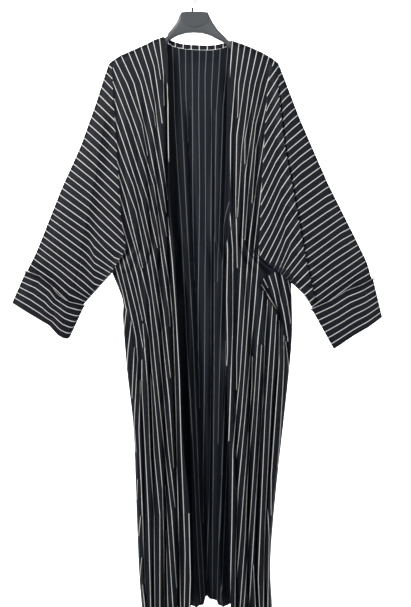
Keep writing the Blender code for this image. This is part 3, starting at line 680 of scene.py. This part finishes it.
def sleeve(side, face):
    """One half of a sleeve: outer points in rows from the armhole to inside the cuff, and their measures."""
    shares = row_shares(side)
    _, outer = row_ends(side)
    edges = edge_share(side)
    armhole = outer[:len(shares)] * np.array([side, -1])
    top, end = cuff_lines(side)
    lap = CUFF_LAP / np.linalg.norm(end.mean(axis=0) - top.mean(axis=0))
    inset = CUFF_WALL + CUFF_PLAY
    mouth = shrunk(top, inset)
    target = mouth[0] + (mouth[1] - mouth[0]) * shares[:, None]
    target[:, 1] -= cuff_bend(side, shares, 0)
    tucked = shrunk(top + (end - top) * lap, inset)
    tucked = tucked[0] + (tucked[1] - tucked[0]) * shares[:, None]
    tucked[:, 1] -= cuff_bend(side, shares, lap)
    phases = np.linspace(0, 2, 4 * SLEEVE_COLUMNS + 1)
    inwards = edge_frame(side)[2] * np.array([side, -1])
    grid = []
    for row, share in enumerate(shares):
        place = crossing(side, armhole[row], target[row])
        turns = (0, 1, 2)
        spread = np.interp(phases, turns, (0, place, SLEEVE_NARROWS[0]))
        length = np.linalg.norm(target[row] - armhole[row])
        past = (spread - place) * length
        raised, sunk = np.exp(-(past / 0.035) ** 2), -0.6 * np.exp(-(past / 0.014) ** 2)
        step = STEP_HEIGHT[side] * np.where(past < 0, raised, sunk)
        step = step * edges[row] * np.clip((place - 0.04) * 12, 0, 1)
        start_half = thickness(outer[row][1])
        stand = (start_half + (CUFF_HALF + SLEEVE_BULGE - start_half) * spread / spread[-1])
        shape = edges[row] + (lens(share) - edges[row]) * spread / spread[-1]
        flat = armhole[row] + (target[row] - armhole[row]) * spread[:, None]
        flat = flat + inwards * column(BOW[side], spread)[:, None] * (1 - share) ** 3
        soft = waves(flat[:, 1] + 0.4 * flat[:, 0], spread * length, 30 + side + face, 0.0008) * edges[row]
        soft = soft * np.clip(spread * 6, 0, 1)
        stand = stand * shape + (step if face < 0 else 0.4 * step) + soft
        points = [np.array([x, face * (SEAM / 2 + y), z]) for (x, z), y in zip(flat, stand)]
        narrow = armhole[row] + (target[row] - armhole[row]) * SLEEVE_NARROWS[1]
        inside = (CUFF_HALF - inset) * lens(share)
        ends = [(narrow, inside + SLEEVE_BULGE * lens(share) / 6), (target[row], inside),
                (tucked[row], inside)]
        points += [np.array([place[0], face * (SEAM / 2 + y), place[1]]) for place, y in ends]
        grid.append(points)
    grid = crowned(np.array(grid))
    inside = corners(sleeve_measure(SLEEVE_INSIDE[side], grid[:, :, 0], -grid[:, :, 2]))
    outside = corners(sleeve_measure(SLEEVE_OUTSIDE[side], grid[:, :, 0], -grid[:, :, 2]))
    before = np.arange(grid.shape[1] - 1) < 2 * SLEEVE_COLUMNS
    return grid, np.where(before[:, None], inside, outside)


def back_body():
    """The back's outer points from -X to +X, and the stripe measure of its cells' corners."""
    ends = {side: row_ends(side) for side in (-1, 1)}
    edges = {side: edge_share(side) for side in (-1, 1)}
    last = len(BACK_VALLEYS) + 1
    phases = np.linspace(0, last, 2 * BACK_COLUMNS * last + 1)
    near_neck = {}
    rows = []
    for row in range(len(edges[1])):
        left, right = ends[-1][1][row], ends[1][1][row]
        places, deep = valleys_at(BACK_VALLEYS, ends[1][0][row][1])
        width = left[0] + right[0]
        knots = [(0, 0), *((turn + 1, share) for turn, share in enumerate(places)), (last, 1)]
        across, inward = fold_line(knots, [0, *deep, 0], phases, width)
        x = -left[0] + width * across
        fade = np.clip(1 - (ends[1][0][row][1] - NECK_POINT[1][1]) / NECK_FADE, 0, 1)
        for side in (-1, 1):
            corner = near_neck.setdefault(side, np.argmin(np.abs(x - side * NECK_POINT[side][0])))
            for step, part in enumerate(NECK_COLUMNS):
                place = side * (NECK_POINT[side][0] - NECK_TURN * part)
                x[corner - side * step] += (place - x[corner - side * step]) * fade
        x = np.sort(x)
        out = np.abs(x)
        neck = np.where(x < 0, NECK_POINT[-1][0], NECK_POINT[1][0])
        limits = (-left[0], -NECK_POINT[-1][0], NECK_POINT[1][0], right[0])
        heights = (left[1], ends[-1][0][row][1], ends[1][0][row][1], right[1])
        depth = np.interp(x, limits, heights)
        tips = (-ends[-1][1][0][0], -NECK_POINT[-1][0], NECK_POINT[1][0], ends[1][1][0][0])
        tip_heights = (ends[-1][1][0][1], NECK_POINT[-1][1], NECK_POINT[1][1], ends[1][1][0][1])
        ridge = np.interp(x, tips, tip_heights)
        radius = thickness(ridge)
        turn = np.clip((out - neck + NECK_TURN) / NECK_TURN, 0, 1)
        inside = np.clip(out / (neck - NECK_TURN), 0, 1)
        dip = radius * (1 - turn) + (NECK_DIP - radius) * (1 - inside ** 3)
        depth = depth + dip * fade
        rounded = quarter_round(depth - ridge, radius)
        side_out = np.where(x < 0, left[0], right[0])
        near_side = np.clip(out / side_out, 0, 1) ** 10
        edge = np.where(x < 0, edges[-1][row], edges[1][row])
        share = np.sqrt(rounded ** 2 * (1 - near_side) + edge ** 2 * near_side)
        ripple = waves(x, depth, 5, 0.0008) * (1 - near_side) * np.clip((depth - 0.2) / 0.3, 0.1, 1)
        inward = inward * rounded + ripple - creased(BACK_CREASES, x, depth) * rounded
        stand = thickness(depth) * share - np.minimum(inward, 0.6 * thickness(depth) * share)
        rows.append(np.stack([x, SEAM / 2 + stand, -depth], axis=-1))
    grid = crowned(np.array(rows))
    hem = np.clip((-grid[:, :, 2] - HEM_DEPTH + 0.10) / 0.10, 0, 1)
    across, drop = np.array(HEM_DROP).T
    grid[:, :, 2] -= np.interp(grid[:, :, 0], (across - PIXEL_MIDDLE) * PIXEL, drop) * hem
    left, right = BACK_BOUNDS
    plain = [left - BACK_SPACING * turn for turn in range(16)]
    plain += [right + BACK_SPACING * turn for turn in range(16)]
    lines = BACK_STRIPES + [[(x, 0), (x, 640)] for x in plain]
    return grid, striped(lines, grid[:, :, 0], -grid[:, :, 2])


def material(name):
    made = bpy.data.materials.new(name)
    made.use_nodes = True
    return made, made.node_tree.nodes, made.node_tree.links, made.node_tree.nodes["Principled BSDF"]


def maths(nodes, links, operation, first, second=None, clamp=False):
    """A maths node fed by sockets or plain numbers; gives its output."""
    made = nodes.new("ShaderNodeMath")
    made.operation = operation
    made.use_clamp = clamp
    for socket, value in zip(made.inputs, (first, second)):
        if value is None:
            continue
        if isinstance(value, (int, float)):
            socket.default_value = value
        else:
            links.new(value, socket)
    return made.outputs[0]


def cloth_look(name, ground, thread, strength):
    """Fine black cloth with woven pale stripes along the measure kept in the cloth's own map."""
    made, nodes, links, shader = material(name)
    place = nodes.new("ShaderNodeUVMap")
    place.uv_map = "cloth"
    split = nodes.new("ShaderNodeSeparateXYZ")
    links.new(place.outputs[0], split.inputs[0])
    across, along = split.outputs[0], split.outputs[1]
    turns = maths(nodes, links, "DIVIDE", across, PITCH)
    nearest = maths(nodes, links, "ROUND", turns)
    off = maths(nodes, links, "SUBTRACT", turns, nearest)
    off = maths(nodes, links, "ABSOLUTE", off)
    off = maths(nodes, links, "MULTIPLY", off, PITCH)
    edge = maths(nodes, links, "SUBTRACT", STRIPE / 2, off)
    edge = maths(nodes, links, "DIVIDE", edge, 0.0005)
    edge = maths(nodes, links, "ADD", edge, 0.5, clamp=True)
    thread_wave = maths(nodes, links, "MULTIPLY", along, 2 * math.pi / 0.0011)
    thread_wave = maths(nodes, links, "SINE", thread_wave)
    thread_wave = maths(nodes, links, "MULTIPLY", thread_wave, 0.10)
    thread_wave = maths(nodes, links, "ADD", thread_wave, 0.90)
    uneven = nodes.new("ShaderNodeTexNoise")
    uneven.inputs["Scale"].default_value = 60
    uneven.inputs["Detail"].default_value = 3
    solid = nodes.new("ShaderNodeTexCoord")
    links.new(solid.outputs["Object"], uneven.inputs["Vector"])
    amount = maths(nodes, links, "MULTIPLY", uneven.outputs[0], 0.35)
    amount = maths(nodes, links, "ADD", amount, 0.80)
    amount = maths(nodes, links, "MULTIPLY", amount, thread_wave)
    amount = maths(nodes, links, "MULTIPLY", amount, edge)
    amount = maths(nodes, links, "MULTIPLY", amount, strength, clamp=True)
    base = nodes.new("ShaderNodeMix")
    base.data_type = "RGBA"
    base.inputs[6].default_value = (*ground, 1)
    base.inputs[7].default_value = (*thread, 1)
    links.new(amount, base.inputs[0])
    links.new(base.outputs[2], shader.inputs["Base Color"])
    shader.inputs["Roughness"].default_value = 0.55
    shader.inputs["Specular IOR Level"].default_value = 0.20
    shader.inputs["Sheen Weight"].default_value = 0.01
    shader.inputs["Sheen Roughness"].default_value = 0.5
    weave = nodes.new("ShaderNodeTexNoise")
    weave.inputs["Scale"].default_value = 900
    weave.inputs["Detail"].default_value = 2
    links.new(solid.outputs["Object"], weave.inputs["Vector"])
    bump = nodes.new("ShaderNodeBump")
    bump.inputs["Strength"].default_value = 0.25
    bump.inputs["Distance"].default_value = 0.0004
    links.new(weave.outputs[0], bump.inputs["Height"])
    links.new(bump.outputs[0], shader.inputs["Normal"])
    return made


def cloth(name, grid, measures, seams, facing, looks, wall=WALL):
    """A closed wall from a grid of outer points with gaps marked nan, with its cells' stripe measures."""
    here = ~np.isnan(grid[:, :, 0])
    index = np.full(here.shape, -1)
    index[here] = np.arange(here.sum())
    points = grid[here]
    corner_index = corners(index)
    whole = corner_index.min(axis=-1) >= 0
    quads = corner_index[whole]
    measures = measures[whole]
    normals = np.cross(points[quads[:, 2]] - points[quads[:, 0]], points[quads[:, 3]] - points[quads[:, 1]])
    if normals[:, 1].sum() * facing < 0:
        quads = quads[:, ::-1]
        measures = measures[:, ::-1]
        normals = -normals
    at_point = np.zeros_like(points)
    for corner in range(4):
        np.add.at(at_point, quads[:, corner], normals)
    at_point[seams[here], 1] = 0
    at_point /= np.linalg.norm(at_point, axis=1)[:, None]
    count = len(points)
    along = -points[:, 2] + 0.4 * np.abs(points[:, 0])
    faces = quads.tolist() + (quads[:, ::-1] + count).tolist()
    across = measures.tolist() + measures[:, ::-1].tolist()
    sides = {}
    for quad, values in zip(quads.tolist(), measures.tolist()):
        for k in range(4):
            sides[quad[k], quad[(k + 1) % 4]] = (values[k], values[(k + 1) % 4])
    for (a, b), (first, second) in sides.items():
        if (b, a) not in sides:
            faces.append([b, a, a + count, b + count])
            across.append([second, first, first, second])
    mesh = bpy.data.meshes.new(name)
    mesh.from_pydata(np.concatenate([points, points - wall * at_point]).tolist(), [], faces)
    layer = mesh.uv_layers.new(name="cloth")
    lengths = np.concatenate([along, along])
    loops = np.stack([np.array(across, float).ravel(), lengths[np.array(faces).ravel()]], axis=-1)
    layer.data.foreach_set("uv", loops.ravel().astype(np.float32))
    for look in looks:
        mesh.materials.append(look)
    slots = np.zeros(len(faces), np.int32)
    slots[len(quads):2 * len(quads)] = 1
    mesh.polygons.foreach_set("material_index", slots)
    mesh.shade_smooth()
    mesh.set_sharp_from_angle(angle=math.radians(70))
    made = bpy.data.objects.new(name, mesh)
    bpy.context.scene.collection.objects.link(made)
    return made


def joined(body, beside_left, beside_right):
    """One grid and its cells' measures from a body and the sleeves that share its outer columns."""
    rows = len(body[0])
    points, measures = [body[0]], [body[1]]
    for other, place in ((beside_left, 0), (beside_right, 1)):
        if other is None:
            continue
        wide = other[0].shape[1] - 1
        padded = np.full((rows, wide, 3), np.nan)
        padded[:len(other[0])] = other[0][:, 1:]
        cells = np.zeros((rows - 1, wide, 4))
        cells[:len(other[1])] = other[1]
        if place:
            points.append(padded)
            measures.append(cells)
        else:
            points.insert(0, padded[:, ::-1])
            measures.insert(0, cells[:, ::-1][:, :, [1, 0, 3, 2]])
    return np.concatenate(points, axis=1), np.concatenate(measures, axis=1)


def build_fronts(looks):
    made = {}
    for side, name in ((-1, "coat_front_right"), (1, "coat_front_left")):
        body = front_body(side)
        half = sleeve(side, -1)
        grid, measures = joined(body, None, half)
        columns = body[0].shape[1]
        seams = np.zeros(grid.shape[:2], bool)
        seams[0] = True
        upper = len(half[0]) - 1
        seams[upper, columns - 1:] = True
        seams[upper:, columns - 1] = True
        made[side] = cloth(name, grid, measures, seams, -1, looks)
    return made


def build_back(looks):
    body = back_body()
    right, left = sleeve(-1, 1), sleeve(1, 1)
    grid, measures = joined(body, right, left)
    wide = right[0].shape[1] - 1
    upper = len(left[0]) - 1
    seams = np.zeros(grid.shape[:2], bool)
    row = grid[0, :, 0]
    seams[0] = ~((row > -NECK_POINT[-1][0]) & (row < NECK_POINT[1][0]))
    seams[upper, :wide + 1] = True
    seams[upper, -wide - 1:] = True
    seams[upper:, wide] = True
    seams[upper:, -wide - 1] = True
    return cloth("coat_back", grid, measures, seams, 1, looks)


def ring_faces(rings, points_each):
    faces = []
    for ring in range(rings - 1):
        for point in range(points_each):
            after = (point + 1) % points_each
            faces.append((ring * points_each + point, ring * points_each + after,
                          (ring + 1) * points_each + after, (ring + 1) * points_each + point))
    return faces


def build_cuffs(looks):
    made = {}
    for side, name in ((-1, "coat_cuff_right"), (1, "coat_cuff_left")):
        top, end = cuff_lines(side)
        shares = np.linspace(0, 1, 61)
        shares = (1 - np.cos(math.pi * shares)) / 2
        around = np.concatenate([shares, shares[-2:0:-1]])
        faces_to = np.concatenate([-np.ones(len(shares)), np.ones(len(shares) - 2)])
        deep = np.linalg.norm(end[0] - top[0])
        rings, measures = [], []
        stations = np.concatenate([np.linspace(0, 0.08, 5), np.linspace(0.08, 1, 24)[1:]])
        for inset in (0, CUFF_WALL):
            for station in stations if inset == 0 else stations[::-1]:
                line = shrunk(top + (end - top) * station, inset)
                flare = CUFF_FLARE * (1 - station / 0.08) if station < 0.08 else 0
                line = shrunk(line, -flare)
                flat = line[0] + (line[1] - line[0]) * around[:, None]
                flat[:, 1] -= cuff_bend(side, around, station)
                half = (CUFF_HALF - inset + flare) * lens(around)
                along = np.full(len(around), station * deep)
                wave = waves(around * 0.17, along, 50 + side, 0.0006) * lens(around)
                half = (half + wave) * faces_to
                rings.append(np.stack([flat[:, 0], half, flat[:, 1]], axis=-1))
                measures.append(station * deep * PITCH / 0.0145)
        each = len(around)
        points = np.concatenate(rings)
        count = len(points)
        faces = [tuple(point % count for point in face) for face in ring_faces(len(rings) + 1, each)]
        mesh = bpy.data.meshes.new(name)
        mesh.from_pydata(points.tolist(), [], faces)
        shape = bmesh.new()
        shape.from_mesh(mesh)
        bmesh.ops.recalc_face_normals(shape, faces=shape.faces)
        shape.to_mesh(mesh)
        shape.free()
        layer = mesh.uv_layers.new(name="cloth")
        values = np.repeat(measures, each)
        turn = np.tile(np.concatenate([shares, 2 - shares[-2:0:-1]]) * 0.17, len(rings))
        vertex = np.zeros(len(mesh.loops), np.int32)
        mesh.loops.foreach_get("vertex_index", vertex)
        places = np.stack([values[vertex], turn[vertex]], axis=-1)
        layer.data.foreach_set("uv", places.ravel().astype(np.float32))
        mesh.materials.append(looks[0])
        mesh.shade_smooth()
        mesh.set_sharp_from_angle(angle=math.radians(60))
        made[side] = bpy.data.objects.new(name, mesh)
        bpy.context.scene.collection.objects.link(made[side])
    return made


def build_neck_band(look):
    """The narrow binding of the back's neckline, its stripes running down across it."""
    body = back_body()[0]
    line = body[0]
    inside = (line[:, 0] > -NECK_POINT[-1][0] + BAND_END) & (line[:, 0] < NECK_POINT[1][0] - BAND_END)
    line = line[inside]
    low = line + np.array([0, 0, SEAM])
    rows = [(0.0, 0.0), (0.15, -0.0002), (0.5, -0.0004), (0.85, -0.0003), (1.0, 0.0)]
    front = [low + np.array([0, bow, BAND_HEIGHT * part]) for part, bow in rows]
    behind = [low + np.array([0, BAND_WALL - bow, BAND_HEIGHT * part]) for part, bow in rows[::-1]]
    rings = front + behind
    points = np.stack(rings, axis=1).reshape(-1, 3) - np.array([0, WALL / 2 + BAND_WALL / 2, 0])
    each = len(rings)
    faces = ring_faces(len(line), each)
    faces += [tuple(range(each)), tuple(len(points) - 1 - k for k in range(each))]
    mesh = bpy.data.meshes.new("coat_neck_binding")
    mesh.from_pydata(points.tolist(), [], [tuple(map(int, face)) for face in faces])
    shape = bmesh.new()
    shape.from_mesh(mesh)
    bmesh.ops.recalc_face_normals(shape, faces=shape.faces)
    shape.to_mesh(mesh)
    shape.free()
    arc = np.concatenate([[0], np.cumsum(np.linalg.norm(np.diff(line, axis=0), axis=1))])
    arc = arc - np.interp(BACK_CENTRE, line[:, 0], arc)
    values = np.repeat(arc, each) * PITCH / 0.0202
    layer = mesh.uv_layers.new(name="cloth")
    vertex = np.zeros(len(mesh.loops), np.int32)
    mesh.loops.foreach_get("vertex_index", vertex)
    places = np.stack([values[vertex], points[vertex, 2]], axis=-1)
    layer.data.foreach_set("uv", places.ravel().astype(np.float32))
    mesh.materials.append(look)
    mesh.shade_smooth()
    mesh.set_sharp_from_angle(angle=math.radians(60))
    made = bpy.data.objects.new("coat_neck_binding", mesh)
    bpy.context.scene.collection.objects.link(made)
    return made


def plastic_look(name, colour, roughness, bump_size):
    made, nodes, links, shader = material(name)
    grain = nodes.new("ShaderNodeTexNoise")
    grain.inputs["Scale"].default_value = 700
    grain.inputs["Detail"].default_value = 3
    place = nodes.new("ShaderNodeTexCoord")
    links.new(place.outputs["Object"], grain.inputs["Vector"])
    tone = nodes.new("ShaderNodeMix")
    tone.data_type = "RGBA"
    tone.inputs[6].default_value = (*(part * 0.93 for part in colour), 1)
    tone.inputs[7].default_value = (*(part * 1.07 for part in colour), 1)
    links.new(grain.outputs[0], tone.inputs[0])
    links.new(tone.outputs[2], shader.inputs["Base Color"])
    shader.inputs["Roughness"].default_value = roughness
    bump = nodes.new("ShaderNodeBump")
    bump.inputs["Strength"].default_value = 0.3
    bump.inputs["Distance"].default_value = bump_size
    links.new(grain.outputs[0], bump.inputs["Height"])
    links.new(bump.outputs[0], shader.inputs["Normal"])
    return made


def chrome_look():
    made, nodes, links, shader = material("chrome")
    wear = nodes.new("ShaderNodeTexNoise")
    wear.inputs["Scale"].default_value = 120
    place = nodes.new("ShaderNodeTexCoord")
    links.new(place.outputs["Object"], wear.inputs["Vector"])
    rough = nodes.new("ShaderNodeMapRange")
    rough.inputs["To Min"].default_value = 0.10
    rough.inputs["To Max"].default_value = 0.20
    links.new(wear.outputs[0], rough.inputs["Value"])
    links.new(rough.outputs[0], shader.inputs["Roughness"])
    shader.inputs["Base Color"].default_value = (0.62, 0.63, 0.65, 1)
    shader.inputs["Metallic"].default_value = 1
    return made


def set_look(thing, look):
    thing.data.materials.clear()
    thing.data.materials.append(look)


def build_stage():
    """A pale floor that curves up into a backdrop."""
    profile = [(-9.0, -4.8)]
    profile += [(7.0 + 1.2 * math.sin(turn), -4.8 + 1.2 * (1 - math.cos(turn)))
                for turn in np.linspace(0, math.pi / 2, 13)]
    profile += [(8.2, 7.0)]
    points = [(x, y, z) for y, z in profile for x in (-9, 9)]
    faces = [(2 * k, 2 * k + 1, 2 * k + 3, 2 * k + 2) for k in range(len(profile) - 1)]
    mesh = bpy.data.meshes.new("studio_backdrop")
    mesh.from_pydata(points, [], faces)
    mesh.shade_smooth()
    made = bpy.data.objects.new("studio_backdrop", mesh)
    bpy.context.scene.collection.objects.link(made)
    look, nodes, links, shader = material("studio_white")
    shader.inputs["Base Color"].default_value = (0.93, 0.935, 0.94, 1)
    shader.inputs["Roughness"].default_value = 0.9
    mesh.materials.append(look)


def area_light(name, place, target, size, power):
    data = bpy.data.lights.new(name, "AREA")
    data.shape = "RECTANGLE"
    data.size, data.size_y = size
    data.energy = power
    made = bpy.data.objects.new(name, data)
    bpy.context.scene.collection.objects.link(made)
    made.location = place
    aim = np.array(target) - np.array(place)
    tilt = math.atan2(math.hypot(aim[0], aim[1]), -aim[2])
    made.rotation_euler = (tilt, 0, math.atan2(aim[0], -aim[1]) + math.pi)
    return made


def build_light():
    world = bpy.data.worlds.new("studio")
    bpy.context.scene.world = world
    world.use_nodes = True
    world.node_tree.nodes["Background"].inputs[0].default_value = (0.88, 0.94, 1, 1)
    world.node_tree.nodes["Background"].inputs[1].default_value = 0.26
    area_light("key", (-2.0, -3.0, 1.4), (0, 0, -0.8), (1.4, 1.4), 150)
    area_light("fill", (2.6, -2.8, 0.4), (0, 0, -0.9), (1.6, 2.0), 36)
    area_light("backdrop_light", (0, 4.6, 1.4), (0, 8.2, -1.2), (8.0, 1.5), 900)
    bpy.context.scene.view_settings.view_transform = "Standard"


def build_camera():
    data = bpy.data.cameras.new("camera")
    data.sensor_width = 36
    data.lens = 36 * DISTANCE / FRAME_HEIGHT
    made = bpy.data.objects.new("camera", data)
    bpy.context.scene.collection.objects.link(made)
    made.location = (CENTRE[0], -DISTANCE, CENTRE[1])
    made.rotation_euler = (math.pi / 2, 0, 0)
    bpy.context.scene.camera = made


def main():
    for thing in list(bpy.data.objects):
        bpy.data.objects.remove(thing, do_unlink=True)
    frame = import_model()
    black, cream = (0.0042, 0.0064, 0.0110), (0.84, 0.82, 0.76)
    outer = cloth_look("striped_cloth", black, cream, 1.0)
    inner = cloth_look("striped_cloth_inside", (0.0062, 0.0084, 0.0135), (0.21, 0.225, 0.24), 0.8)
    fronts = build_fronts((outer, inner))
    back = build_back((outer, inner))
    cuffs = build_cuffs((outer, inner))
    binding = build_neck_band(outer)
    for piece, names, slot in ((fronts[-1], ["front_right"], "cloth"), (fronts[1], ["front_left"], "cloth"),
                               (back, ["back"], "cloth"), (cuffs[-1], ["cuff_right"], "cloth"),
                               (cuffs[1], ["cuff_left"], "cloth"), (binding, ["neck_band"], "binding")):
        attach(piece, "root")
        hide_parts(*names)
    nodes = frame["nodes"]
    set_look(nodes["hanger_body"], plastic_look("hanger_plastic", (0.088, 0.094, 0.100), 0.38, 0.0001))
    set_look(nodes["hanger_panel"], plastic_look("panel_plastic", (0.080, 0.085, 0.090), 0.30, 0.00005))
    set_look(nodes["hanger_collar"], plastic_look("stub_plastic", (0.010, 0.010, 0.011), 0.45, 0.0001))
    set_look(nodes["hanger_hook"], chrome_look())
    build_stage()
    build_light()
    build_camera()


main()
